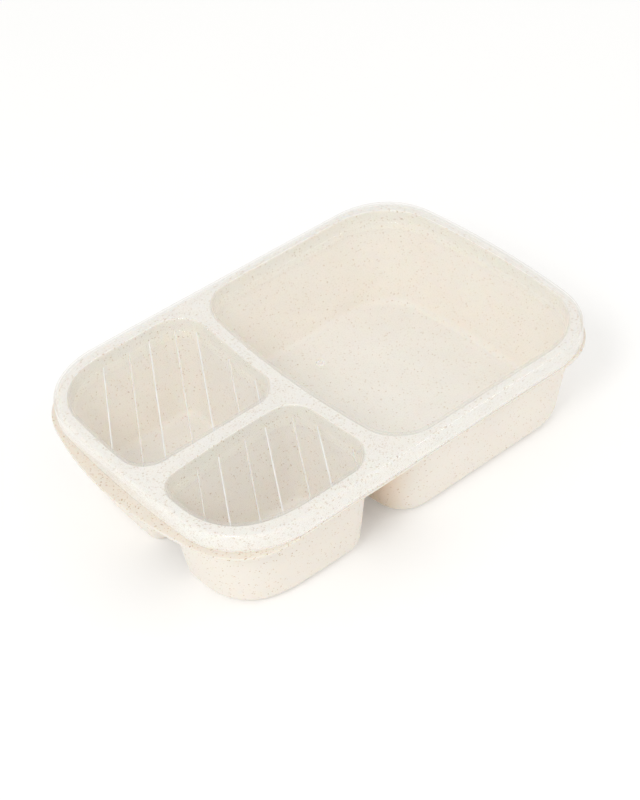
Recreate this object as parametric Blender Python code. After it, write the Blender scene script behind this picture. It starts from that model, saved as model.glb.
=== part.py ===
"""Three-compartment lunch box: a moulded tray with three separate cups and a clear push-on lid.

The frame is in metres with +Z up. The cups stand on z = 0 and the origin is under the middle of
the lid. +X points to the end with the big cup. All sizes below are in millimetres.
"""

import math
from collections import namedtuple

import bmesh
import bpy
from mathutils import Matrix, Vector
from mathutils.geometry import intersect_line_line_2d

MM = 0.001

# Driving sizes of the whole box
HEIGHT = 55.5
LID_LENGTH = 230.0
LID_WIDTH = 156.6
FIT_GAP = 0.3

# The lid's plan: bowed sides and large corners, a little rounder at the small-cup end
SMALL_END_RADIUS = 42.0
BIG_END_RADIUS = 37.5
SMALL_END_BOW = 5.6
BIG_END_BOW = 6.8
LONG_SIDE_BOW = 0.3

# The lid's section
LID_SHEET = 0.9
LID_EDGE_RADIUS = 1.3
SKIRT_BOTTOM = HEIGHT - 8.3
SKIRT_FLARE = 0.3
RECESS_DEPTH = 6.7
RECESS_TAPER = 0.8
RECESS_LIP_RADIUS = 0.8
PANEL_TOP = HEIGHT - RECESS_DEPTH
PANEL_BOTTOM = PANEL_TOP - LID_SHEET

# The ribs across the two small panels: pairs of low ribs in one slanted lattice
RIB_ANGLE = math.radians(59)
RIB_PERIOD = 22.75
RIB_FIRST = -99.5
RIB_PAIR_GAP = 12.7
RIB_COUNT = 5
STRONG_RIB = (0.7, 0.35)
WEAK_RIB = (0.45, 0.22)
RIB_ROOT = 0.5
SHORTEST_RIB = 4.0
GATE_RING_OUTER = 2.0
GATE_RING_INNER = 1.3
GATE_RING_HEIGHT = 0.3

# The tray's section
DECK_TOP = HEIGHT - LID_SHEET - FIT_GAP
DECK_SHEET = 1.8
RIM_INSET = LID_SHEET + FIT_GAP
RIM_SHEET = 1.7
RIM_EDGE_RADIUS = 1.5
FLANGE_TOP = HEIGHT - 10.6
FLANGE_BOTTOM = HEIGHT - 12.1
FLANGE_EDGE_RADIUS = 0.4

# The flange's plan: it hides under the skirt on the long sides and bulges into a tab at each end
TAB_REACH = 5.5
TAB_BOW = 15.8
FLANGE_CORNER_RADIUS = 36.0
FLANGE_SIDE_INSET = 1.0

# The cups' section
CUP_SHEET = 1.8
CUP_FLOOR_RADIUS = 4.0
CUP_LIP_RADIUS = 0.5
CUP_OPENING = 1.4
NECK_BOTTOM = FLANGE_BOTTOM

# A pocket is a recess in the lid with the cup under it. The recess's outline has corner points,
# counter-clockwise from the one nearest -X and -Y, then corner radii, then how far each side bows
# outward. The cup's outer wall follows that outline. Carried up to the deck's top it would stand
# outset from it, and it leans inward by its draft (a tangent) down to a rounded base.
Pocket = namedtuple("Pocket", "corners radii bows outset draft base_radius")

BIG = Pocket(
    corners=((-14.9, -71.5), (104.2, -71.6), (101.9, 71.5), (-14.9, 71.5)),
    radii=(21.5, 33.8, 35.5, 21.5),
    bows=(-0.2, 5.2, 0.5, 5.6),
    outset=4.8,
    draft=0.185,
    base_radius=7.6,
)
SMALL_REAR = Pocket(
    corners=((-106.5, -6.4), (-28.9, -6.0), (-25.0, 71.0), (-102.5, 70.3)),
    radii=(12.5, 13.5, 14.7, 32.0),
    bows=(0.0, -1.0, -0.8, 2.0),
    outset=3.4,
    draft=0.17,
    base_radius=6.0,
)
SMALL_FRONT = Pocket(
    corners=((-102.4, -68.5), (-25.5, -69.3), (-29.3, -16.5), (-105.6, -18.8)),
    radii=(45.0, 14.3, 12.5, 12.0),
    bows=(0.6, -0.7, 1.2, 1.8),
    outset=3.5,
    draft=0.14,
    base_radius=7.0,
)

# How far a cutting shape runs past the surface that it cuts
CUT_PAST = 1.0

# How finely round stretches are divided
CORNER_STEPS = 8
SIDE_STEPS = 6
FILLET_STEPS = 4
RING_STEPS = 24
SMOOTH_ANGLE = math.radians(35)

TRAY_COLOUR = (0.80, 0.74, 0.62, 1.0)
TRAY_ROUGHNESS = 0.55
LID_COLOUR = (0.90, 0.90, 0.87, 0.35)
LID_ROUGHNESS = 0.08


def clear_scene():
    for item in list(bpy.data.objects):
        bpy.data.objects.remove(item, do_unlink=True)


def material(name, colour, roughness):
    """A Principled material; a colour with alpha under 1 makes it see-through."""
    made = bpy.data.materials.new(name)
    made.use_nodes = True
    made.diffuse_color = colour
    shader = made.node_tree.nodes["Principled BSDF"]
    shader.inputs["Base Color"].default_value = (*colour[:3], 1.0)
    shader.inputs["Roughness"].default_value = roughness
    shader.inputs["Metallic"].default_value = 0.0
    shader.inputs["Alpha"].default_value = colour[3]
    return made


# ---- plan outlines ----


class BowedSide:
    """One side of an outline: a straight line or a shallow parabola that bows outward."""

    def __init__(self, start, end, bow):
        self.start = Vector(start)
        self.along = Vector(end) - self.start
        self.length = self.along.length
        self.outward = Vector((self.along.y, -self.along.x)).normalized()
        self.bow = bow

    def point(self, share):
        return self.start + self.along * share + self.outward * (4 * self.bow * share * (1 - share))

    def direction(self, share):
        return (self.along + self.outward * (4 * self.bow * (1 - 2 * share))).normalized()


def turn(before, after):
    """The angle by which one direction turns left into another."""
    return math.atan2(before.x * after.y - before.y * after.x, before.dot(after))


def corner_arc(side_in, side_out, radius):
    """A near-circular arc that joins two sides, and the share of each side that it takes."""
    half_turn = turn(side_in.direction(1), side_out.direction(0)) / 2
    trim = radius * math.tan(half_turn)
    share_in = trim / side_in.length
    share_out = trim / side_out.length
    start = side_in.point(1 - share_in)
    end = side_out.point(share_out)
    start_dir = side_in.direction(1 - share_in)
    end_dir = side_out.direction(share_out)
    handle = 4 / 3 * math.tan(turn(start_dir, end_dir) / 4) * radius
    first_handle = start + start_dir * handle
    last_handle = end - end_dir * handle
    points = []
    for step in range(CORNER_STEPS + 1):
        t = step / CORNER_STEPS
        s = 1 - t
        points.append(
            s**3 * start + 3 * s * s * t * first_handle + 3 * s * t * t * last_handle + t**3 * end
        )
    return points, share_in, share_out


def outline(corners, radii, bows):
    """A closed counter-clockwise plan outline with four bowed sides and four round corners."""
    sides = [BowedSide(corners[i], corners[(i + 1) % 4], bows[i]) for i in range(4)]
    arcs = [corner_arc(sides[i - 1], sides[i], radii[i]) for i in range(4)]
    points = []
    for i in range(4):
        arc_points, _, share_start = arcs[i]
        share_end = 1 - arcs[(i + 1) % 4][1]
        points += arc_points
        for step in range(1, SIDE_STEPS):
            share = share_start + (share_end - share_start) * step / SIDE_STEPS
            points.append(sides[i].point(share))
    return points


def grown(points, distance):
    """The outline moved outward along its normals, or inward where the distance is negative."""
    moved = []
    for i, point in enumerate(points):
        chord = points[(i + 1) % len(points)] - points[i - 1]
        moved.append(point + Vector((chord.y, -chord.x)).normalized() * distance)
    return moved


def end_bowed_plan(half_length, half_width, small_end, big_end, side_bow):
    """A plan whose ends bow out to +-half_length; each end is given as (corner radius, bow)."""
    west = small_end[1] - half_length
    east = half_length - big_end[1]
    south = side_bow - half_width
    north = half_width - side_bow
    corners = ((west, south), (east, south), (east, north), (west, north))
    radii = (small_end[0], big_end[0], big_end[0], small_end[0])
    return outline(corners, radii, (side_bow, big_end[1], side_bow, small_end[1]))


def pocket_plan(pocket):
    return outline(pocket.corners, pocket.radii, pocket.bows)


def lid_plan():
    small_end = (SMALL_END_RADIUS, SMALL_END_BOW)
    big_end = (BIG_END_RADIUS, BIG_END_BOW)
    return end_bowed_plan(LID_LENGTH / 2, LID_WIDTH / 2, small_end, big_end, LONG_SIDE_BOW)


def flange_plan():
    end = (FLANGE_CORNER_RADIUS, TAB_BOW)
    half_length = LID_LENGTH / 2 + TAB_REACH
    return end_bowed_plan(half_length, LID_WIDTH / 2 - FLANGE_SIDE_INSET, end, end, 0.0)


# ---- solids ----


def ring(points, distance, height):
    return [Vector((p.x, p.y, height)) * MM for p in grown(points, distance)]


def fillet(centre_offset, centre_height, radius, start_degrees, end_degrees):
    """(offset, height) pairs along an arc of a section; 0 degrees points outward, 90 up."""
    pairs = []
    for step in range(FILLET_STEPS + 1):
        angle = math.radians(start_degrees + (end_degrees - start_degrees) * step / FILLET_STEPS)
        offset = centre_offset + radius * math.cos(angle)
        pairs.append((offset, centre_height + radius * math.sin(angle)))
    return pairs


def solid(name, rings):
    """A closed solid lofted through rings of equal length, capped flat at both ends."""
    mesh = bpy.data.meshes.new(name)
    bm = bmesh.new()
    loops = [[bm.verts.new(point) for point in points] for points in rings]
    for lower, upper in zip(loops, loops[1:]):
        for i in range(len(lower)):
            bm.faces.new((lower[i - 1], lower[i], upper[i], upper[i - 1]))
    bm.faces.new(reversed(loops[0]))
    bm.faces.new(loops[-1])
    bmesh.ops.recalc_face_normals(bm, faces=bm.faces)
    bm.to_mesh(mesh)
    bm.free()
    made = bpy.data.objects.new(name, mesh)
    bpy.context.collection.objects.link(made)
    return made


def lofted(name, points, section):
    """A solid whose rings are one outline grown by each (offset, height) pair of a section."""
    return solid(name, [ring(points, offset, height) for offset, height in section])


def combine(body, tool, operation):
    """Apply an exact Boolean of the tool to the body and remove the tool."""
    step = body.modifiers.new(operation, "BOOLEAN")
    step.operation = operation
    step.solver = "EXACT"
    step.object = tool
    graph = bpy.context.evaluated_depsgraph_get()
    result = bpy.data.meshes.new_from_object(body.evaluated_get(graph))
    before = body.data
    body.modifiers.clear()
    body.data = result
    bpy.data.meshes.remove(before)
    bpy.data.objects.remove(tool, do_unlink=True)


def finish(body, made_of, origin):
    """Give a finished solid its material, its origin and smooth round stretches."""
    body.data.materials.clear()
    body.data.materials.append(made_of)
    body.data.transform(Matrix.Translation(-origin))
    body.location = origin
    body.data.shade_smooth()
    body.data.set_sharp_from_angle(angle=SMOOTH_ANGLE)


# ---- tray ----


def cup_offset(pocket, height):
    """How far a cup's outer wall stands outside its recess's outline at a height.

    Below the neck the wall leans by the pocket's draft. The neck, which the lid's recess sits in,
    is steeper and opens to the same distance in every cup.
    """
    if height <= NECK_BOTTOM:
        return pocket.outset + pocket.draft * (height - DECK_TOP)
    low = cup_offset(pocket, NECK_BOTTOM)
    share = (height - NECK_BOTTOM) / (DECK_TOP - NECK_BOTTOM)
    return low + (CUP_OPENING + CUP_SHEET - low) * share


def cup_section(pocket, floor, radius, inset, top):
    """A tapered wall on a rounded flat floor, from the floor up to the top height."""
    knee = floor + radius
    section = fillet(cup_offset(pocket, knee) - inset - radius, knee, radius, -90, 0)
    section.append((cup_offset(pocket, NECK_BOTTOM) - inset, NECK_BOTTOM))
    section.append((cup_offset(pocket, top) - inset, top))
    return section


def cup_outside(pocket):
    section = cup_section(pocket, 0.0, pocket.base_radius, 0.0, DECK_TOP - DECK_SHEET / 3)
    return lofted("cup_outside", pocket_plan(pocket), section)


def cup_inside(pocket):
    """The space in a cup, with a rounded lip where its wall meets the deck."""
    lip_start = DECK_TOP - CUP_LIP_RADIUS
    section = cup_section(pocket, CUP_SHEET, CUP_FLOOR_RADIUS, CUP_SHEET, lip_start)
    lip_centre = section[-1][0] + CUP_LIP_RADIUS
    section += fillet(lip_centre, lip_start, CUP_LIP_RADIUS, 180, 100)[1:]
    section.append((lip_centre + CUP_LIP_RADIUS, DECK_TOP + CUT_PAST))
    return lofted("cup_inside", pocket_plan(pocket), section)


def rim_block(lid_outline, flange_outline):
    """The deck, the rim's outer wall and the flange as one solid block, hollowed afterwards."""
    edge = FLANGE_EDGE_RADIUS
    flange_section = (
        (-edge, FLANGE_BOTTOM),
        (0.0, FLANGE_BOTTOM + edge),
        (0.0, FLANGE_TOP - edge),
        (-edge, FLANGE_TOP),
    )
    rings = [ring(flange_outline, offset, height) for offset, height in flange_section]
    rim_section = [(-RIM_INSET, FLANGE_TOP)]
    edge_centre = -RIM_INSET - RIM_EDGE_RADIUS
    rim_section += fillet(edge_centre, DECK_TOP - RIM_EDGE_RADIUS, RIM_EDGE_RADIUS, 0, 90)
    rings += [ring(lid_outline, offset, height) for offset, height in rim_section]
    return solid("tray", rings)


def under_deck_space(lid_outline):
    inset = -RIM_INSET - RIM_SHEET
    section = ((inset, FLANGE_BOTTOM - CUT_PAST), (inset, DECK_TOP - DECK_SHEET))
    return lofted("under_deck_space", lid_outline, section)


def make_tray():
    tray = rim_block(lid_plan(), flange_plan())
    combine(tray, under_deck_space(lid_plan()), "DIFFERENCE")
    for pocket in (BIG, SMALL_REAR, SMALL_FRONT):
        combine(tray, cup_outside(pocket), "UNION")
    for pocket in (BIG, SMALL_REAR, SMALL_FRONT):
        combine(tray, cup_inside(pocket), "DIFFERENCE")
    finish(tray, material("tray_fibre_plastic", TRAY_COLOUR, TRAY_ROUGHNESS), Vector((0, 0, 0)))


# ---- lid ----


def lid_block(plan):
    """The lid's outside: a skirt that flares a little and a rounded top edge."""
    section = [(SKIRT_FLARE, SKIRT_BOTTOM)]
    section += fillet(-LID_EDGE_RADIUS, HEIGHT - LID_EDGE_RADIUS, LID_EDGE_RADIUS, 0, 90)
    return lofted("lid", plan, section)


def lid_underside(plan):
    """The space that the tray's rim fits into."""
    section = (
        (SKIRT_FLARE - LID_SHEET, SKIRT_BOTTOM - CUT_PAST),
        (-LID_SHEET, HEIGHT - LID_EDGE_RADIUS),
        (-LID_SHEET, HEIGHT - LID_SHEET),
    )
    return lofted("lid_underside", plan, section)


def recess_outside(plan):
    """The hidden side of one recess: its wall and its panel, overlapping the lid's top sheet."""
    edge = LID_SHEET / 2
    section = (
        (LID_SHEET - RECESS_TAPER - edge, PANEL_BOTTOM),
        (LID_SHEET - RECESS_TAPER, PANEL_BOTTOM + edge),
        (LID_SHEET, HEIGHT - LID_SHEET / 2),
    )
    return lofted("recess_outside", plan, section)


def recess_inside(plan):
    """The open space of one recess above its panel, with a rounded lip."""
    lip = RECESS_LIP_RADIUS
    section = [(-RECESS_TAPER, PANEL_TOP)]
    section += fillet(lip, HEIGHT - lip, lip, 180, 100)
    section.append((2 * lip, HEIGHT + CUT_PAST))
    return lofted("recess_inside", plan, section)


def crossings(plan, origin, direction):
    """Where a straight line crosses a closed outline, in order along the line."""
    reach = direction * LID_LENGTH
    hits = []
    for i in range(len(plan)):
        hit = intersect_line_line_2d(origin - reach, origin + reach, plan[i - 1], plan[i])
        if hit:
            hits.append(hit)
    return sorted(hits, key=direction.dot)


def rib(start, end, width, height):
    """A low straight rib on a panel, rooted in it."""
    across = Vector((start.y - end.y, end.x - start.x)).normalized() * width / 2
    foot = [start - across, end - across, end + across, start + across]
    levels = (PANEL_TOP - RIB_ROOT, PANEL_TOP + height)
    return solid("rib", [[Vector((*p, z)) * MM for p in foot] for z in levels])


def panel_ribs(plan):
    """The slanted ribs that cross one panel from wall to wall, a strong and a weak one in turn."""
    direction = Vector((math.cos(RIB_ANGLE), math.sin(RIB_ANGLE)))
    across = Vector((direction.y, -direction.x))
    foot = grown(plan, LID_SHEET / 2 - RECESS_TAPER)
    ribs = []
    for pair in range(RIB_COUNT):
        for shift, size in ((0.0, STRONG_RIB), (RIB_PAIR_GAP, WEAK_RIB)):
            origin = across * (RIB_FIRST + pair * RIB_PERIOD + shift)
            ends = crossings(foot, origin, direction)
            if len(ends) == 2 and (ends[1] - ends[0]).length > SHORTEST_RIB:
                ribs.append(rib(ends[0], ends[1], *size))
    return ribs


def gate_ring():
    """The small raised ring left by the mould's gate at the middle of the lid."""
    section = (
        (GATE_RING_OUTER, PANEL_TOP - RIB_ROOT),
        (GATE_RING_OUTER, PANEL_TOP + GATE_RING_HEIGHT),
        (GATE_RING_INNER, PANEL_TOP + GATE_RING_HEIGHT),
        (GATE_RING_INNER / 2, PANEL_TOP + GATE_RING_HEIGHT / 3),
    )
    rings = []
    for radius, height in section:
        turns = [2 * math.pi * i / RING_STEPS for i in range(RING_STEPS)]
        rings.append([Vector((radius * math.cos(a), radius * math.sin(a), height)) * MM for a in turns])
    return solid("gate_ring", rings)


def make_lid():
    lid = lid_block(lid_plan())
    combine(lid, lid_underside(lid_plan()), "DIFFERENCE")
    for pocket in (BIG, SMALL_REAR, SMALL_FRONT):
        combine(lid, recess_outside(pocket_plan(pocket)), "UNION")
    for pocket in (BIG, SMALL_REAR, SMALL_FRONT):
        combine(lid, recess_inside(pocket_plan(pocket)), "DIFFERENCE")
    for pocket in (SMALL_REAR, SMALL_FRONT):
        for one_rib in panel_ribs(pocket_plan(pocket)):
            combine(lid, one_rib, "UNION")
    combine(lid, gate_ring(), "UNION")
    finish(lid, material("lid_clear_plastic", LID_COLOUR, LID_ROUGHNESS), Vector((0, 0, HEIGHT * MM)))


def main():
    clear_scene()
    make_tray()
    make_lid()


main()
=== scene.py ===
"""Looks of a three-compartment lunch box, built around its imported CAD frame.

Everything is in metres in the CAD's own frame. The sizes below are in millimetres. The plan
outlines are the ones that the CAD model uses, divided more finely, so that both models agree.
"""

import math
from collections import namedtuple

import bmesh
import bpy
from mathutils import Matrix, Vector
from mathutils.geometry import intersect_line_line_2d


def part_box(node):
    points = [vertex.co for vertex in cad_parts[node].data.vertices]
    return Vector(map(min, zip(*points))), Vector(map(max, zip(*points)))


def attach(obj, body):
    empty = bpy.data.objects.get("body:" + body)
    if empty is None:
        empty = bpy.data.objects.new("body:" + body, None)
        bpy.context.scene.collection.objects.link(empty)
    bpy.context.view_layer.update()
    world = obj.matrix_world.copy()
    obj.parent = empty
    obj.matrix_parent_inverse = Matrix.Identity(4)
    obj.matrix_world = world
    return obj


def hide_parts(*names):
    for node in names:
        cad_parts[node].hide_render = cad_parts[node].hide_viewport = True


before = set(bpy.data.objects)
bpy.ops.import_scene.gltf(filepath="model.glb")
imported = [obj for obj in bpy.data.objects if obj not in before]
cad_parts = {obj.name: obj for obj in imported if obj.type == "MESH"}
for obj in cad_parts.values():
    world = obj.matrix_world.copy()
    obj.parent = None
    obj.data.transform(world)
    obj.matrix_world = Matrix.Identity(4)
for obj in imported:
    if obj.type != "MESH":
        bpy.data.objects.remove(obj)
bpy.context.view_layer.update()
MM = 0.001

# Levels and half sizes, read from the frame
LID_LOW, LID_HIGH = (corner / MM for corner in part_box("lid"))
TRAY_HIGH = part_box("tray")[1] / MM
TOP = LID_HIGH.z
DECK_TOP = TRAY_HIGH.z
SKIRT_BOTTOM = LID_LOW.z

# The lid's section
SKIRT_FLARE = 0.3
LID_SHEET = 0.9
LID_EDGE_RADIUS = 1.3
LID_INNER_RADIUS = 0.45
SKIRT_LIP_RADIUS = 0.25
RECESS_DEPTH = 6.7
RECESS_TAPER = 0.8
RECESS_LIP_RADIUS = 0.8
RECESS_FOOT_RADIUS = 0.45
PANEL_TOP = TOP - RECESS_DEPTH
PANEL_BOTTOM = PANEL_TOP - LID_SHEET

# The lid's plan
HALF_LENGTH = LID_HIGH.x - SKIRT_FLARE
HALF_WIDTH = LID_HIGH.y - SKIRT_FLARE
SMALL_END = (42.0, 5.6)
BIG_END = (37.5, 6.8)
LONG_SIDE_BOW = 0.3

# The ribs across the two small panels
RIB_ANGLE = math.radians(59)
RIB_PERIOD = 22.75
RIB_FIRST = -99.5
RIB_PAIR_GAP = 12.7
RIB_COUNT = 5
STRONG_RIB = (0.7, 0.35)
WEAK_RIB = (0.45, 0.22)
SHORTEST_RIB = 4.0
RIB_SINK = 0.15
RIB_PROFILE = ((-0.5, 0.0), (-0.42, 0.55), (-0.2, 0.92), (0.2, 0.92), (0.42, 0.55), (0.5, 0.0))
GATE_RING_RADIUS = 1.65
GATE_RING_BEAD = 0.35

# The tray's section
RIM_INSET = TOP - DECK_TOP
RIM_SHEET = 1.7
RIM_EDGE_RADIUS = 1.5
DECK_SHEET = 1.8
FLANGE_TOP = TOP - 10.6
FLANGE_BOTTOM = TOP - 12.1
FLANGE_EDGE_RADIUS = 0.4
TAB_END = (36.0, 15.8)
FLANGE_SIDE_INSET = 1.0
CUP_SHEET = 1.8
CUP_FLOOR_RADIUS = 4.0
CUP_LIP_RADIUS = 0.5
CUP_OPENING = 1.4
NECK_BOTTOM = FLANGE_BOTTOM

# What tells the tray's faces apart: how exactly a level is met and how steep a wall is. Where the
# gap between the big cup and the small ones lies along the box, for the painted shade in it
SLACK = 0.02
STEEP = 0.5
GAP_WEST = -36.0
GAP_MIDDLE = -20.0
GAP_EAST = -4.0

# How finely round stretches are divided
CORNER_STEPS = 26
SIDE_STEPS = 16
FILLET_STEPS = 8
RING_STEPS = 32
BEAD_STEPS = 10

# How far a cutting solid runs past the surface that it opens
CUT_PAST = 1.0

# Shading: the turn that counts as a real corner, and how much large faces steer the normals
SHARP_ANGLE = math.radians(38)
NORMAL_WEIGHT = 80

# The camera: where it stands round a point on the lid's top, how it is rolled, and its lens
VIEW_AZIMUTH = math.radians(-36.91)
VIEW_ELEVATION = math.radians(40.81)
VIEW_ROLL = math.radians(-5.05)
VIEW_DISTANCE = 801.2
VIEW_TARGET = Vector((-21.7, -25.9, TOP))
VIEW_LENS = 80.95
SENSOR_WIDTH = 36.0
CLIP_START = 50.0
CLIP_END = 20000.0

# The floor: how far it reaches each way, and how far under the cups' bases it lies
FLOOR_REACH = 3000.0
FLOOR_DROP = 0.1

# A pocket is a recess in the lid with the cup under it: corner points, corner radii and side bows
# of its outline, then how far the cup's wall stands outside it at the deck, its lean and its base.
Pocket = namedtuple("Pocket", "corners radii bows outset draft base_radius")

BIG = Pocket(
    corners=((-14.9, -71.5), (104.2, -71.6), (101.9, 71.5), (-14.9, 71.5)),
    radii=(21.5, 33.8, 35.5, 21.5),
    bows=(-0.2, 5.2, 0.5, 5.6),
    outset=4.8,
    draft=0.185,
    base_radius=7.6,
)
SMALL_REAR = Pocket(
    corners=((-106.5, -6.4), (-28.9, -6.0), (-25.0, 71.0), (-102.5, 70.3)),
    radii=(12.5, 13.5, 14.7, 32.0),
    bows=(0.0, -1.0, -0.8, 2.0),
    outset=3.4,
    draft=0.17,
    base_radius=6.0,
)
SMALL_FRONT = Pocket(
    corners=((-102.4, -68.5), (-25.5, -69.3), (-29.3, -16.5), (-105.6, -18.8)),
    radii=(45.0, 14.3, 12.5, 12.0),
    bows=(0.6, -0.7, 1.2, 1.8),
    outset=3.5,
    draft=0.14,
    base_radius=7.0,
)
POCKETS = (BIG, SMALL_REAR, SMALL_FRONT)


# ---- plan outlines ----


class BowedSide:
    """One side of an outline: a straight line or a shallow parabola that bows outward."""

    def __init__(self, start, end, bow):
        self.start = Vector(start)
        self.along = Vector(end) - self.start
        self.length = self.along.length
        self.outward = Vector((self.along.y, -self.along.x)).normalized()
        self.bow = bow

    def point(self, share):
        return self.start + self.along * share + self.outward * (4 * self.bow * share * (1 - share))

    def direction(self, share):
        return (self.along + self.outward * (4 * self.bow * (1 - 2 * share))).normalized()


def turn(before, after):
    """The angle by which one direction turns left into another."""
    return math.atan2(before.x * after.y - before.y * after.x, before.dot(after))


def corner_arc(side_in, side_out, radius):
    """A near-circular arc that joins two sides, and the share of each side that it takes."""
    half_turn = turn(side_in.direction(1), side_out.direction(0)) / 2
    trim = radius * math.tan(half_turn)
    share_in = trim / side_in.length
    share_out = trim / side_out.length
    start = side_in.point(1 - share_in)
    end = side_out.point(share_out)
    start_dir = side_in.direction(1 - share_in)
    end_dir = side_out.direction(share_out)
    handle = 4 / 3 * math.tan(turn(start_dir, end_dir) / 4) * radius
    first_handle = start + start_dir * handle
    last_handle = end - end_dir * handle
    points = []
    for step in range(CORNER_STEPS + 1):
        t = step / CORNER_STEPS
        s = 1 - t
        points.append(
            s**3 * start + 3 * s * s * t * first_handle + 3 * s * t * t * last_handle + t**3 * end
        )
    return points, share_in, share_out


def outline(corners, radii, bows):
    """A closed counter-clockwise plan outline with four bowed sides and four round corners."""
    sides = [BowedSide(corners[i], corners[(i + 1) % 4], bows[i]) for i in range(4)]
    arcs = [corner_arc(sides[i - 1], sides[i], radii[i]) for i in range(4)]
    points = []
    for i in range(4):
        arc_points, _, share_start = arcs[i]
        share_end = 1 - arcs[(i + 1) % 4][1]
        points += arc_points
        for step in range(1, SIDE_STEPS):
            share = share_start + (share_end - share_start) * step / SIDE_STEPS
            points.append(sides[i].point(share))
    return points


def grown(points, distance):
    """The outline moved outward along its normals, or inward where the distance is negative."""
    moved = []
    for i, point in enumerate(points):
        chord = points[(i + 1) % len(points)] - points[i - 1]
        moved.append(point + Vector((chord.y, -chord.x)).normalized() * distance)
    return moved


def end_bowed_plan(half_length, half_width, small_end, big_end, side_bow):
    """A plan whose ends bow out to +-half_length; each end is given as (corner radius, bow)."""
    west = small_end[1] - half_length
    east = half_length - big_end[1]
    south = side_bow - half_width
    north = half_width - side_bow
    corners = ((west, south), (east, south), (east, north), (west, north))
    radii = (small_end[0], big_end[0], big_end[0], small_end[0])
    return outline(corners, radii, (side_bow, big_end[1], side_bow, small_end[1]))


def pocket_plan(pocket):
    return outline(pocket.corners, pocket.radii, pocket.bows)


def lid_plan():
    return end_bowed_plan(HALF_LENGTH, HALF_WIDTH, SMALL_END, BIG_END, LONG_SIDE_BOW)


def flange_plan():
    return end_bowed_plan(TRAY_HIGH.x, HALF_WIDTH - FLANGE_SIDE_INSET, TAB_END, TAB_END, 0.0)


# ---- meshes ----


def fillet(centre_offset, centre_height, radius, start_degrees, end_degrees):
    """(offset, height) pairs along an arc of a section; 0 degrees points outward, 90 up."""
    pairs = []
    for step in range(FILLET_STEPS + 1):
        angle = math.radians(start_degrees + (end_degrees - start_degrees) * step / FILLET_STEPS)
        offset = centre_offset + radius * math.cos(angle)
        pairs.append((offset, centre_height + radius * math.sin(angle)))
    return pairs


class Shell:
    """A mesh grown from rings of vertices, strips between them and flat fills.

    Each new face takes the material slot that is set at the time.
    """

    def __init__(self):
        self.bm = bmesh.new()
        self.slot = 0

    def face(self, corners):
        self.bm.faces.new(corners).material_index = self.slot

    def ring(self, plan, offset, height):
        return [self.bm.verts.new((p.x * MM, p.y * MM, height * MM)) for p in grown(plan, offset)]

    def strip(self, lower, upper):
        for i in range(len(lower)):
            self.face((lower[i - 1], lower[i], upper[i], upper[i - 1]))

    def skin(self, plan, section):
        """Strips along a section's (offset, height) pairs; gives the first and the last ring."""
        rings = [self.ring(plan, offset, height) for offset, height in section]
        for lower, upper in zip(rings, rings[1:]):
            self.strip(lower, upper)
        return rings[0], rings[-1]

    def fill(self, *rings):
        """A flat sheet inside the first ring and outside the others."""
        edges = []
        for one in rings:
            for i in range(len(one)):
                pair = (one[i - 1], one[i])
                edges.append(self.bm.edges.get(pair) or self.bm.edges.new(pair))
        filled = bmesh.ops.triangle_fill(self.bm, use_beauty=True, edges=edges)
        for part in filled["geom"]:
            if isinstance(part, bmesh.types.BMFace):
                part.material_index = self.slot

    def made(self, name):
        bmesh.ops.recalc_face_normals(self.bm, faces=self.bm.faces)
        mesh = bpy.data.meshes.new(name)
        self.bm.to_mesh(mesh)
        self.bm.free()
        piece = bpy.data.objects.new(name, mesh)
        bpy.context.scene.collection.objects.link(piece)
        return piece


def lofted(name, plan, section):
    """A closed solid along a section, capped flat at both ends."""
    shell = Shell()
    first, last = shell.skin(plan, section)
    shell.bm.faces.new(first)
    shell.bm.faces.new(last)
    return shell.made(name)


def combine(body, tool, operation):
    """Apply an exact Boolean of the tool to the body and remove the tool."""
    step = body.modifiers.new(operation, "BOOLEAN")
    step.operation = operation
    step.solver = "EXACT"
    step.object = tool
    graph = bpy.context.evaluated_depsgraph_get()
    result = bpy.data.meshes.new_from_object(body.evaluated_get(graph))
    before = body.data
    body.modifiers.clear()
    body.data = result
    bpy.data.meshes.remove(before)
    bpy.data.objects.remove(tool, do_unlink=True)


def smooth(piece):
    """Smooth shading that keeps flat faces flat and real corners sharp."""
    piece.data.shade_smooth()
    piece.data.set_sharp_from_angle(angle=SHARP_ANGLE)
    weighted = piece.modifiers.new("weighted_normals", "WEIGHTED_NORMAL")
    weighted.keep_sharp = True
    weighted.weight = NORMAL_WEIGHT


# ---- tray ----


def cup_offset(pocket, height):
    """How far a cup's outer wall stands outside its recess's outline at a height.

    Below the neck the wall leans by the pocket's draft. The neck, which the lid's recess sits in,
    is steeper and opens to the same distance in every cup.
    """
    if height <= NECK_BOTTOM:
        return pocket.outset + pocket.draft * (height - DECK_TOP)
    low = cup_offset(pocket, NECK_BOTTOM)
    share = (height - NECK_BOTTOM) / (DECK_TOP - NECK_BOTTOM)
    return low + (CUP_OPENING + CUP_SHEET - low) * share


def cup_section(pocket, floor, radius, inset, top):
    """A tapered wall on a rounded flat floor, from the floor up to the top height."""
    knee = floor + radius
    section = fillet(cup_offset(pocket, knee) - inset - radius, knee, radius, -90, 0)
    section.append((cup_offset(pocket, NECK_BOTTOM) - inset, NECK_BOTTOM))
    section.append((cup_offset(pocket, top) - inset, top))
    return section


def cup_outside(pocket):
    section = cup_section(pocket, 0.0, pocket.base_radius, 0.0, DECK_TOP - DECK_SHEET / 3)
    return lofted("cup_outside", pocket_plan(pocket), section)


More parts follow.
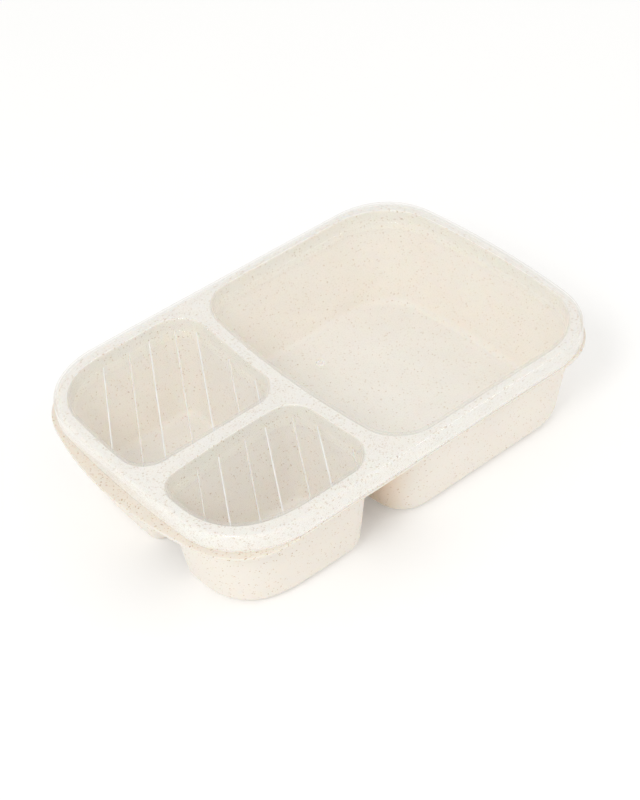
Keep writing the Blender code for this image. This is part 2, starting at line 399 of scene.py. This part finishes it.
def cup_inside(pocket):
    """The space in a cup, with a rounded lip where its wall meets the deck."""
    lip_start = DECK_TOP - CUP_LIP_RADIUS
    section = cup_section(pocket, CUP_SHEET, CUP_FLOOR_RADIUS, CUP_SHEET, lip_start)
    lip_centre = section[-1][0] + CUP_LIP_RADIUS
    section += fillet(lip_centre, lip_start, CUP_LIP_RADIUS, 180, 95)[1:]
    section.append((lip_centre + CUP_LIP_RADIUS, DECK_TOP + CUT_PAST))
    return lofted("cup_inside", pocket_plan(pocket), section)


def rim_block():
    """The deck, the rim's outer wall and the flange as one solid block, hollowed afterwards."""
    edge = FLANGE_EDGE_RADIUS
    flange = fillet(-edge, FLANGE_BOTTOM + edge, edge, -90, 0)
    flange += fillet(-edge, FLANGE_TOP - edge, edge, 0, 90)
    rim = [(-RIM_INSET, FLANGE_TOP)]
    edge_centre = -RIM_INSET - RIM_EDGE_RADIUS
    rim += fillet(edge_centre, DECK_TOP - RIM_EDGE_RADIUS, RIM_EDGE_RADIUS, 0, 90)
    shell = Shell()
    bottom, flange_last = shell.skin(flange_plan(), flange)
    rim_first, top = shell.skin(lid_plan(), rim)
    shell.strip(flange_last, rim_first)
    shell.bm.faces.new(bottom)
    shell.bm.faces.new(top)
    return shell.made("tray_body")


def under_deck_space():
    inset = -RIM_INSET - RIM_SHEET
    section = ((inset, FLANGE_BOTTOM - CUT_PAST), (inset, DECK_TOP - DECK_SHEET))
    return lofted("under_deck_space", lid_plan(), section)


# The tray's material slots, in the order in which make_tray adds them
CUP_SLOT = 0
FLANGE_SLOT = 1
DECK_SLOT = 2
NECK_SLOT = 3
OUTSIDE_SLOT = 4


def looks_into_a_cup(face):
    """Whether an upright face is turned towards the middle of one of the cups."""
    for pocket in POCKETS:
        middle = sum((Vector(corner) for corner in pocket.corners), Vector((0, 0))) / 4
        if face.normal.xy.dot(middle - face.center.xy / MM) > 0:
            return True
    return False


def tray_slot(face):
    """The material slot of one of the tray's faces, from its level and the way that it looks.

    The cups taper, so their outsides look a little downward and their insides a little upward.
    """
    level = face.center.z / MM
    if level < FLANGE_BOTTOM - SLACK:
        return OUTSIDE_SLOT if face.normal.z < 0 else CUP_SLOT
    if level <= FLANGE_TOP + SLACK:
        return FLANGE_SLOT
    if abs(face.normal.z) < STEEP and looks_into_a_cup(face):
        return NECK_SLOT
    return DECK_SLOT


def make_tray():
    tray = rim_block()
    combine(tray, under_deck_space(), "DIFFERENCE")
    for pocket in POCKETS:
        combine(tray, cup_outside(pocket), "UNION")
    for pocket in POCKETS:
        combine(tray, cup_inside(pocket), "DIFFERENCE")
    tray.data.materials.clear()
    parts = (cup_material, flange_material, deck_material, lit_neck_material, shaded_outside_material)
    for material in parts:
        tray.data.materials.append(material())
    for face in tray.data.polygons:
        face.material_index = tray_slot(face)
    smooth(tray)
    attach(tray, "tray")
    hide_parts("tray")


# ---- lid ----

# The lid's material slots, and those of its ribs, in the order in which make_lid adds them
FROSTED_SLOT = 0
CLEAR_SLOT = 1
STRONG_SLOT = 0
WEAK_SLOT = 1


def lid_skirt_section():
    """The lid's rim from the under edge of its top sheet round the skirt to the flat top."""
    lip = SKIRT_LIP_RADIUS
    inner = LID_INNER_RADIUS
    section = fillet(-LID_SHEET - inner, TOP - LID_SHEET - inner, inner, 90, 0)
    low = SKIRT_BOTTOM + lip
    section += fillet(SKIRT_FLARE - LID_SHEET + lip, low, lip, 180, 270)
    section += fillet(SKIRT_FLARE - lip, low, lip, 270, 360)
    section += fillet(-LID_EDGE_RADIUS, TOP - LID_EDGE_RADIUS, LID_EDGE_RADIUS, 0, 90)
    return section


def recess_top_section():
    """One recess from the flat top over its lip and down its wall to the panel."""
    lip = RECESS_LIP_RADIUS
    foot = RECESS_FOOT_RADIUS
    section = fillet(lip, TOP - lip, lip, 90, 180)
    section += fillet(-RECESS_TAPER - foot, PANEL_TOP + foot, foot, 0, -90)
    return section


def recess_under_section():
    """The hidden side of one recess from the top sheet's underside to the panel's underside."""
    inner = LID_INNER_RADIUS
    under = TOP - LID_SHEET
    section = fillet(LID_SHEET + inner, under - inner, inner, 90, 180)
    section += fillet(LID_SHEET - RECESS_TAPER - inner, PANEL_BOTTOM + inner, inner, 0, -90)
    return section


def lid_sheet():
    """The lid's bare sheet as one closed surface."""
    shell = Shell()
    shell.slot = FROSTED_SLOT
    under_outer, top_outer = shell.skin(lid_plan(), lid_skirt_section())
    shell.slot = CLEAR_SLOT
    top_rings = [top_outer]
    under_rings = [under_outer]
    for pocket in POCKETS:
        plan = pocket_plan(pocket)
        lip, panel = shell.skin(plan, recess_top_section())
        top_rings.append(lip)
        shell.fill(panel)
        lip, panel = shell.skin(plan, recess_under_section())
        under_rings.append(lip)
        shell.fill(panel)
    shell.slot = FROSTED_SLOT
    shell.fill(*top_rings)
    shell.fill(*under_rings)
    return shell.made("lid_body")


def crossings(plan, origin, direction):
    """Where a straight line crosses a closed outline, in order along the line."""
    reach = direction * HALF_LENGTH * 2
    hits = []
    for i in range(len(plan)):
        hit = intersect_line_line_2d(origin - reach, origin + reach, plan[i - 1], plan[i])
        if hit:
            hits.append(hit)
    return sorted(hits, key=direction.dot)


def rib(shell, start, end, width, height):
    """A low rounded rib along a panel, sunk a little into it."""
    across = Vector((start.y - end.y, end.x - start.x)).normalized() * width
    rings = []
    for place in (start, end):
        ring = []
        for side, rise in RIB_PROFILE:
            point = place + across * side
            level = PANEL_TOP + rise * height if rise else PANEL_TOP - RIB_SINK
            ring.append(shell.bm.verts.new(Vector((point.x, point.y, level)) * MM))
        rings.append(ring)
    shell.strip(*rings)
    for ring in rings:
        shell.face(ring)


def panel_ribs(shell, plan):
    """The slanted ribs that cross one panel from wall to wall, a strong and a weak one in turn."""
    direction = Vector((math.cos(RIB_ANGLE), math.sin(RIB_ANGLE)))
    across = Vector((direction.y, -direction.x))
    foot = grown(plan, -RECESS_TAPER)
    kinds = ((STRONG_SLOT, 0.0, STRONG_RIB), (WEAK_SLOT, RIB_PAIR_GAP, WEAK_RIB))
    for pair in range(RIB_COUNT):
        for slot, shift, size in kinds:
            origin = across * (RIB_FIRST + pair * RIB_PERIOD + shift)
            ends = crossings(foot, origin, direction)
            if len(ends) == 2 and (ends[1] - ends[0]).length > SHORTEST_RIB:
                shell.slot = slot
                rib(shell, ends[0], ends[1], *size)


def gate_ring(shell):
    """The small raised ring left by the mould's gate at the middle of the lid."""
    rings = []
    for step in range(RING_STEPS):
        heading = 2 * math.pi * step / RING_STEPS
        out = Vector((math.cos(heading), math.sin(heading), 0))
        ring = []
        for side in range(BEAD_STEPS):
            around = 2 * math.pi * side / BEAD_STEPS
            place = out * (GATE_RING_RADIUS + GATE_RING_BEAD * math.cos(around))
            place.z = PANEL_TOP + GATE_RING_BEAD * math.sin(around)
            ring.append(shell.bm.verts.new(place * MM))
        rings.append(ring)
    for i in range(RING_STEPS):
        shell.strip(rings[i - 1], rings[i])


def make_lid():
    lid = lid_sheet()
    lid.data.materials.append(frosted_material())
    lid.data.materials.append(clear_material())
    smooth(lid)
    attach(lid, "lid")
    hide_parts("lid")
    shell = Shell()
    for pocket in (SMALL_REAR, SMALL_FRONT):
        panel_ribs(shell, pocket_plan(pocket))
    gate_ring(shell)
    ribs = shell.made("lid_ribs")
    # The pale lines of the ribs and of the gate ring are painted highlights
    ribs.data.materials.append(rib_highlight_material("strong_rib_highlight", 0.9))
    ribs.data.materials.append(rib_highlight_material("weak_rib_highlight", 0.45))
    smooth(ribs)
    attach(ribs, "lid")


# ---- materials ----


class Nodes:
    """A node tree under construction."""

    def __init__(self, name):
        self.material = bpy.data.materials.new(name)
        self.material.use_nodes = True
        self.tree = self.material.node_tree
        self.shader = self.tree.nodes["Principled BSDF"]
        self.output = self.tree.nodes["Material Output"]
        self.place = self.add("ShaderNodeTexCoord").outputs["Object"]

    def add(self, kind, **settings):
        node = self.tree.nodes.new(kind)
        for key, value in settings.items():
            setattr(node, key, value)
        return node

    def link(self, source, target):
        self.tree.links.new(source, target)

    def feed(self, target, value):
        """Link an output to an input, or set the input to a plain value."""
        if isinstance(value, bpy.types.NodeSocket):
            self.link(value, target)
        else:
            target.default_value = value

    def math(self, operation, first, second=0.0):
        node = self.add("ShaderNodeMath", operation=operation)
        self.feed(node.inputs[0], first)
        self.feed(node.inputs[1], second)
        return node.outputs[0]

    def ramp(self, value, low, high, out_low=0.0, out_high=1.0):
        """A smooth step from out_low to out_high as the value goes from low to high."""
        node = self.add("ShaderNodeMapRange", interpolation_type="SMOOTHSTEP", clamp=True)
        self.feed(node.inputs["Value"], value)
        self.feed(node.inputs["From Min"], low)
        self.feed(node.inputs["From Max"], high)
        self.feed(node.inputs["To Min"], out_low)
        self.feed(node.inputs["To Max"], out_high)
        return node.outputs[0]

    def noise(self, size_mm, detail=2.0, place=None):
        node = self.add("ShaderNodeTexNoise")
        self.link(place or self.place, node.inputs["Vector"])
        node.inputs["Scale"].default_value = 1 / (size_mm * MM)
        node.inputs["Detail"].default_value = detail
        return node

    def dent(self, height, strength, depth_mm, shader):
        """Bump a shader by a height from 0 to 1."""
        bump = self.add("ShaderNodeBump")
        bump.inputs["Strength"].default_value = strength
        bump.inputs["Distance"].default_value = depth_mm * MM
        self.link(height, bump.inputs["Height"])
        self.link(bump.outputs["Normal"], shader.inputs["Normal"])

    def pass_light(self, surface, through):
        """Let the light that falls on what lies behind go through, as plastic scatters it on."""
        path = self.add("ShaderNodeLightPath")
        passed = self.math("MAXIMUM", path.outputs["Is Shadow Ray"], path.outputs["Is Diffuse Ray"])
        last = self.add("ShaderNodeMixShader")
        self.link(passed, last.inputs["Fac"])
        self.link(surface, last.inputs[1])
        self.link(through, last.inputs[2])
        self.link(last.outputs[0], self.output.inputs["Surface"])

    def mix(self, factor, first, second):
        node = self.add("ShaderNodeMix", data_type="RGBA")
        self.feed(node.inputs["Factor"], factor)
        self.feed(node.inputs["A"], first)
        self.feed(node.inputs["B"], second)
        return node.outputs["Result"]


def specks(nodes, place, cell_mm, radius_mm, share, softness=0.35):
    """A mask of scattered dots: one in some of the cells of a 3-D lattice, of varied size."""
    cells = nodes.add("ShaderNodeTexVoronoi", feature="F1")
    nodes.link(place, cells.inputs["Vector"])
    cells.inputs["Scale"].default_value = 1 / (cell_mm * MM)
    chance = nodes.add("ShaderNodeSeparateColor")
    nodes.link(cells.outputs["Color"], chance.inputs["Color"])
    radius = radius_mm / cell_mm
    size = nodes.ramp(chance.outputs["Green"], 0.0, 1.0, 0.55 * radius, 1.25 * radius)
    inner = nodes.math("MULTIPLY", size, 1 - softness)
    dot = nodes.ramp(cells.outputs["Distance"], size, inner)
    kept = nodes.math("LESS_THAN", chance.outputs["Red"], share)
    return nodes.math("MULTIPLY", dot, kept), chance.outputs["Blue"]


def warped(nodes, size_mm, reach_mm):
    """The object's own coordinates bent a little, so that what lies in them isn't regular."""
    bend = nodes.noise(size_mm, 2.0)
    shift = nodes.add("ShaderNodeVectorMath", operation="SCALE")
    nodes.link(bend.outputs["Color"], shift.inputs[0])
    shift.inputs["Scale"].default_value = reach_mm * MM
    moved = nodes.add("ShaderNodeVectorMath", operation="ADD")
    nodes.link(nodes.place, moved.inputs[0])
    nodes.link(shift.outputs[0], moved.inputs[1])
    return moved.outputs[0]


def drawn_out(nodes, place, degrees, times):
    """Coordinates in which dots come out as fibres, drawn out along one direction."""
    turned = nodes.add("ShaderNodeVectorRotate", rotation_type="EULER_XYZ")
    nodes.link(place, turned.inputs["Vector"])
    turned.inputs["Rotation"].default_value = [math.radians(angle) for angle in degrees]
    squeezed = nodes.add("ShaderNodeVectorMath", operation="MULTIPLY")
    nodes.link(turned.outputs[0], squeezed.inputs[0])
    squeezed.inputs[1].default_value = (1 / times, 1.0, 1.0)
    return squeezed.outputs[0]


# The two tones of each kind of speck, and how the two sets of fibres are turned
TAN = ((0.62, 0.47, 0.31, 1.0), (0.74, 0.61, 0.45, 1.0))
BROWN = ((0.42, 0.25, 0.12, 1.0), (0.62, 0.43, 0.26, 1.0))
DARK = ((0.26, 0.12, 0.05, 1.0), (0.48, 0.26, 0.12, 1.0))
FIBRE_TURNS = ((0, 25, 35), (20, -15, 125))

# How the plastic scatters light under its surface, and how strongly it bends it
SCATTER_SHARE = 0.35
SCATTER_RADIUS = (1.0, 0.65, 0.4)
SCATTER_REACH = 3.0
PLASTIC_IOR = 1.49


def fibre_plastic(name, tones, share, growth, shade_tone=None):
    """Ivory plastic filled with plant fibre: fine specks, short fibres and a few dark dots.

    The share says how full of them the plastic is, from 0 to 1, and the growth how large they are.
    Where a shade tone is given, the plastic takes it as painted shade in the middle of the gap
    between the cups.
    """
    nodes = Nodes(name)
    place = warped(nodes, 1.1, 0.9)
    cloud = nodes.noise(26.0, 3.0)
    base = nodes.mix(nodes.ramp(cloud.outputs["Fac"], 0.3, 0.7), *tones)
    # Painted shade: a browner tone in the middle of the gap between the cups
    if shade_tone:
        base = nodes.mix(gap_shade_mask(nodes), base, shade_tone)
    layers = [(place, 1.05, 0.25, share, 0.5, TAN)]
    for turns in FIBRE_TURNS:
        layers.append((drawn_out(nodes, place, turns, 2.2), 1.3, 0.27, share, 0.6, BROWN))
    layers.append((place, 1.8, 0.33, share, 0.7, BROWN))
    layers.append((place, 3.6, 0.36, share * 0.45, 0.7, DARK))
    for where, cell, radius, kept, strength, colours in layers:
        mask, tone = specks(nodes, where, cell, radius * growth, kept)
        base = nodes.mix(nodes.math("MULTIPLY", mask, strength), base, nodes.mix(tone, *colours))
    nodes.link(base, nodes.shader.inputs["Base Color"])
    grain = nodes.noise(0.7, 4.0)
    roughness = nodes.ramp(grain.outputs["Fac"], 0.3, 0.7, 0.42, 0.55)
    nodes.link(roughness, nodes.shader.inputs["Roughness"])
    swell = nodes.noise(6.0, 3.0)
    relief = nodes.math("MULTIPLY", grain.outputs["Fac"], 0.35)
    relief = nodes.math("ADD", relief, swell.outputs["Fac"])
    nodes.dent(relief, 0.12, 0.15, nodes.shader)
    nodes.shader.inputs["Subsurface Weight"].default_value = SCATTER_SHARE
    nodes.shader.inputs["Subsurface Radius"].default_value = SCATTER_RADIUS
    nodes.shader.inputs["Subsurface Scale"].default_value = SCATTER_REACH * MM
    nodes.shader.inputs["IOR"].default_value = PLASTIC_IOR
    return nodes.material


def gap_shade_mask(nodes):
    """A mask of painted shade, from 0 at both sides of the gap between the cups to 1 in its middle.
    """
    along = nodes.add("ShaderNodeSeparateXYZ")
    nodes.link(nodes.place, along.inputs[0])
    rise = nodes.ramp(along.outputs["X"], GAP_WEST * MM, GAP_MIDDLE * MM)
    fall = nodes.ramp(along.outputs["X"], GAP_MIDDLE * MM, GAP_EAST * MM, 1.0, 0.0)
    return nodes.math("MULTIPLY", rise, fall)


def cup_material():
    tones = ((0.935, 0.88, 0.82, 1.0), (0.95, 0.90, 0.845, 1.0))
    return fibre_plastic("fibre_plastic", tones, 0.45, 0.95)


def shaded_outside_material():
    """The cups' outsides: a darker copy of the cup plastic as painted shade, with painted shade of
    a browner tone in the narrow gap between them.
    """
    # Darker tones than the cups' insides: painted shade
    tones = ((0.85, 0.80, 0.73, 1.0), (0.87, 0.82, 0.755, 1.0))
    return fibre_plastic("fibre_plastic_outside_shaded", tones, 0.42, 0.95, (0.83, 0.68, 0.52, 1.0))


def flange_material():
    """The same plastic on the flange: a darker tone, with the fibres crowded."""
    tones = ((0.80, 0.75, 0.675, 1.0), (0.83, 0.785, 0.715, 1.0))
    return fibre_plastic("fibre_plastic_flange", tones, 0.95, 1.0)


def lit_neck_material():
    """The steep tops of the cups' walls: a paler copy of the cup plastic, painted light for the
    light that falls on them behind the lid's recess walls.
    """
    tones = ((0.985, 0.935, 0.86, 1.0), (0.99, 0.95, 0.88, 1.0))
    return fibre_plastic("fibre_plastic_neck_lit", tones, 0.5, 1.0)


def deck_material():
    """The deck and the rim, where the fibres crowd too."""
    tones = ((0.90, 0.86, 0.81, 1.0), (0.92, 0.885, 0.84, 1.0))
    return fibre_plastic("fibre_plastic_deck", tones, 0.85, 1.2)


# The lid's plastic: the share that it mirrors head-on, what it adds to its haze where it is seen
# edge-on, and how much of what it scatters goes on through
HEAD_ON_MIRROR = 0.04
EDGE_HAZE = 0.3
FORWARD_SHARE = 0.4


def clear_plastic(name, haze_low, haze_high):
    """Clear, faintly milky plastic: it mirrors and whitens more where it is seen edge-on.

    The share mirrored follows Schlick's rule from the facing angle, the same from both sides of
    the sheet, because rays pass through it unbent.
    """
    nodes = Nodes(name)
    cloud = nodes.noise(18.0, 3.0)
    haze = nodes.ramp(cloud.outputs["Fac"], 0.3, 0.7, haze_low, haze_high)
    edge_on = nodes.add("ShaderNodeLayerWeight")
    edge_on.inputs["Blend"].default_value = 0.5
    facing = edge_on.outputs["Facing"]
    edge = nodes.math("MULTIPLY", nodes.math("POWER", facing, 3.0), EDGE_HAZE)
    veil = nodes.math("ADD", haze, edge)
    milk = nodes.shader
    milk.inputs["Base Color"].default_value = (0.94, 0.93, 0.91, 1.0)
    milk.inputs["Roughness"].default_value = 0.35
    forward = nodes.add("ShaderNodeBsdfTranslucent")
    forward.inputs["Color"].default_value = (0.95, 0.94, 0.92, 1.0)
    scatter = nodes.add("ShaderNodeMixShader")
    scatter.inputs["Fac"].default_value = FORWARD_SHARE
    nodes.link(milk.outputs[0], scatter.inputs[1])
    nodes.link(forward.outputs[0], scatter.inputs[2])
    through = nodes.add("ShaderNodeBsdfTransparent")
    through.inputs["Color"].default_value = (0.995, 0.995, 0.99, 1.0)
    body = nodes.add("ShaderNodeMixShader")
    nodes.link(veil, body.inputs["Fac"])
    nodes.link(through.outputs[0], body.inputs[1])
    nodes.link(scatter.outputs[0], body.inputs[2])
    gloss = nodes.add("ShaderNodeBsdfAnisotropic")
    gloss.inputs["Color"].default_value = (1.0, 1.0, 1.0, 1.0)
    scuffs = nodes.noise(3.0, 4.0)
    nodes.link(nodes.ramp(scuffs.outputs["Fac"], 0.35, 0.7, 0.05, 0.12), gloss.inputs["Roughness"])
    grazing = nodes.math("POWER", facing, 5.0)
    mirrored = nodes.math("MULTIPLY", grazing, 1 - HEAD_ON_MIRROR)
    mirrored = nodes.math("ADD", mirrored, HEAD_ON_MIRROR)
    surface = nodes.add("ShaderNodeMixShader")
    nodes.link(mirrored, surface.inputs["Fac"])
    nodes.link(body.outputs[0], surface.inputs[1])
    nodes.link(gloss.outputs[0], surface.inputs[2])
    nodes.pass_light(surface.outputs[0], through.outputs[0])
    nodes.dent(nodes.noise(12.0, 2.0).outputs["Fac"], 0.05, 0.2, gloss)
    return nodes.material


def frosted_material():
    """The lid's rim, which is finely frosted."""
    return clear_plastic("frosted_plastic", 0.17, 0.21)


def clear_material():
    """The lid's sunk panels and their walls, which are polished."""
    return clear_plastic("clear_plastic", 0.03, 0.05)


def rib_highlight_material(name, highlight_strength):
    """A rib's pale line that comes and goes along it is a painted highlight: white scatter that
    stands in for the light that its round back catches.
    """
    nodes = Nodes(name)
    nodes.shader.inputs["Base Color"].default_value = (1.0, 1.0, 0.99, 1.0)
    nodes.shader.inputs["Roughness"].default_value = 0.3
    fade = nodes.noise(28.0, 2.0)
    # Painted highlight: the share of white scatter, fading in and out along the rib
    share = nodes.ramp(fade.outputs["Fac"], 0.35, 0.65, highlight_strength * 0.7, highlight_strength)
    through = nodes.add("ShaderNodeBsdfTransparent")
    surface = nodes.add("ShaderNodeMixShader")
    nodes.link(share, surface.inputs["Fac"])
    nodes.link(through.outputs[0], surface.inputs[1])
    nodes.link(nodes.shader.outputs[0], surface.inputs[2])
    nodes.link(surface.outputs[0], nodes.output.inputs["Surface"])
    return nodes.material


# ---- stage ----


def floor_material():
    """White acrylic, lit a little from below as on a product table."""
    nodes = Nodes("studio_floor")
    mottle = nodes.noise(150.0, 2.0)
    tone = nodes.mix(mottle.outputs["Fac"], (0.93, 0.93, 0.925, 1.0), (0.95, 0.95, 0.945, 1.0))
    nodes.link(tone, nodes.shader.inputs["Base Color"])
    nodes.shader.inputs["Roughness"].default_value = 0.9
    nodes.shader.inputs["Specular IOR Level"].default_value = 0.1
    nodes.shader.inputs["Emission Color"].default_value = (1.0, 1.0, 1.0, 1.0)
    nodes.shader.inputs["Emission Strength"].default_value = 0.12
    return nodes.material


def make_floor():
    mesh = bpy.data.meshes.new("floor")
    reach = FLOOR_REACH * MM
    corners = [(-reach, -reach, 0), (reach, -reach, 0), (reach, reach, 0), (-reach, reach, 0)]
    mesh.from_pydata(corners, [], [(0, 1, 2, 3)])
    floor = bpy.data.objects.new("floor", mesh)
    floor.location.z = -FLOOR_DROP * MM
    bpy.context.scene.collection.objects.link(floor)
    floor.data.materials.append(floor_material())


def soft_light(name, place, size, power, tint):
    """A square area light that looks at the box."""
    lamp = bpy.data.lights.new(name, "AREA")
    lamp.size = size
    lamp.energy = power
    lamp.color = tint
    holder = bpy.data.objects.new(name, lamp)
    holder.location = Vector(place)
    holder.rotation_euler = (-Vector(place)).to_track_quat("-Z", "Y").to_euler()
    bpy.context.scene.collection.objects.link(holder)


def make_lights():
    world = bpy.data.worlds.new("studio")
    world.use_nodes = True
    back = world.node_tree.nodes["Background"]
    back.inputs["Color"].default_value = (1.0, 0.995, 0.985, 1.0)
    back.inputs["Strength"].default_value = 0.825
    bpy.context.scene.world = world
    soft_light("key", (-1.0, -0.45, 1.15), 0.4, 5.0, (1.0, 0.995, 0.99))
    soft_light("fill", (0.9, -0.9, 1.2), 0.3, 1.0, (1.0, 1.0, 1.0))


def make_camera():
    """A camera that looks down on the lid from the front left."""
    level = math.cos(VIEW_ELEVATION)
    back = Vector(
        (math.sin(VIEW_AZIMUTH) * level, -math.cos(VIEW_AZIMUTH) * level, math.sin(VIEW_ELEVATION))
    )
    right = Vector((0, 0, 1)).cross(back).normalized()
    up = back.cross(right)
    rolled_right = right * math.cos(VIEW_ROLL) + up * math.sin(VIEW_ROLL)
    rolled_up = up * math.cos(VIEW_ROLL) - right * math.sin(VIEW_ROLL)
    lens = bpy.data.cameras.new("camera")
    lens.lens = VIEW_LENS
    lens.sensor_width = SENSOR_WIDTH
    lens.clip_start = CLIP_START * MM
    lens.clip_end = CLIP_END * MM
    camera = bpy.data.objects.new("camera", lens)
    axes = Matrix((rolled_right, rolled_up, back)).transposed()
    place = (VIEW_TARGET + back * VIEW_DISTANCE) * MM
    camera.matrix_world = Matrix.Translation(place) @ axes.to_4x4()
    bpy.context.scene.collection.objects.link(camera)
    bpy.context.scene.camera = camera


make_camera()
make_floor()
make_lights()
bpy.context.scene.view_settings.view_transform = "Standard"
make_tray()
make_lid()
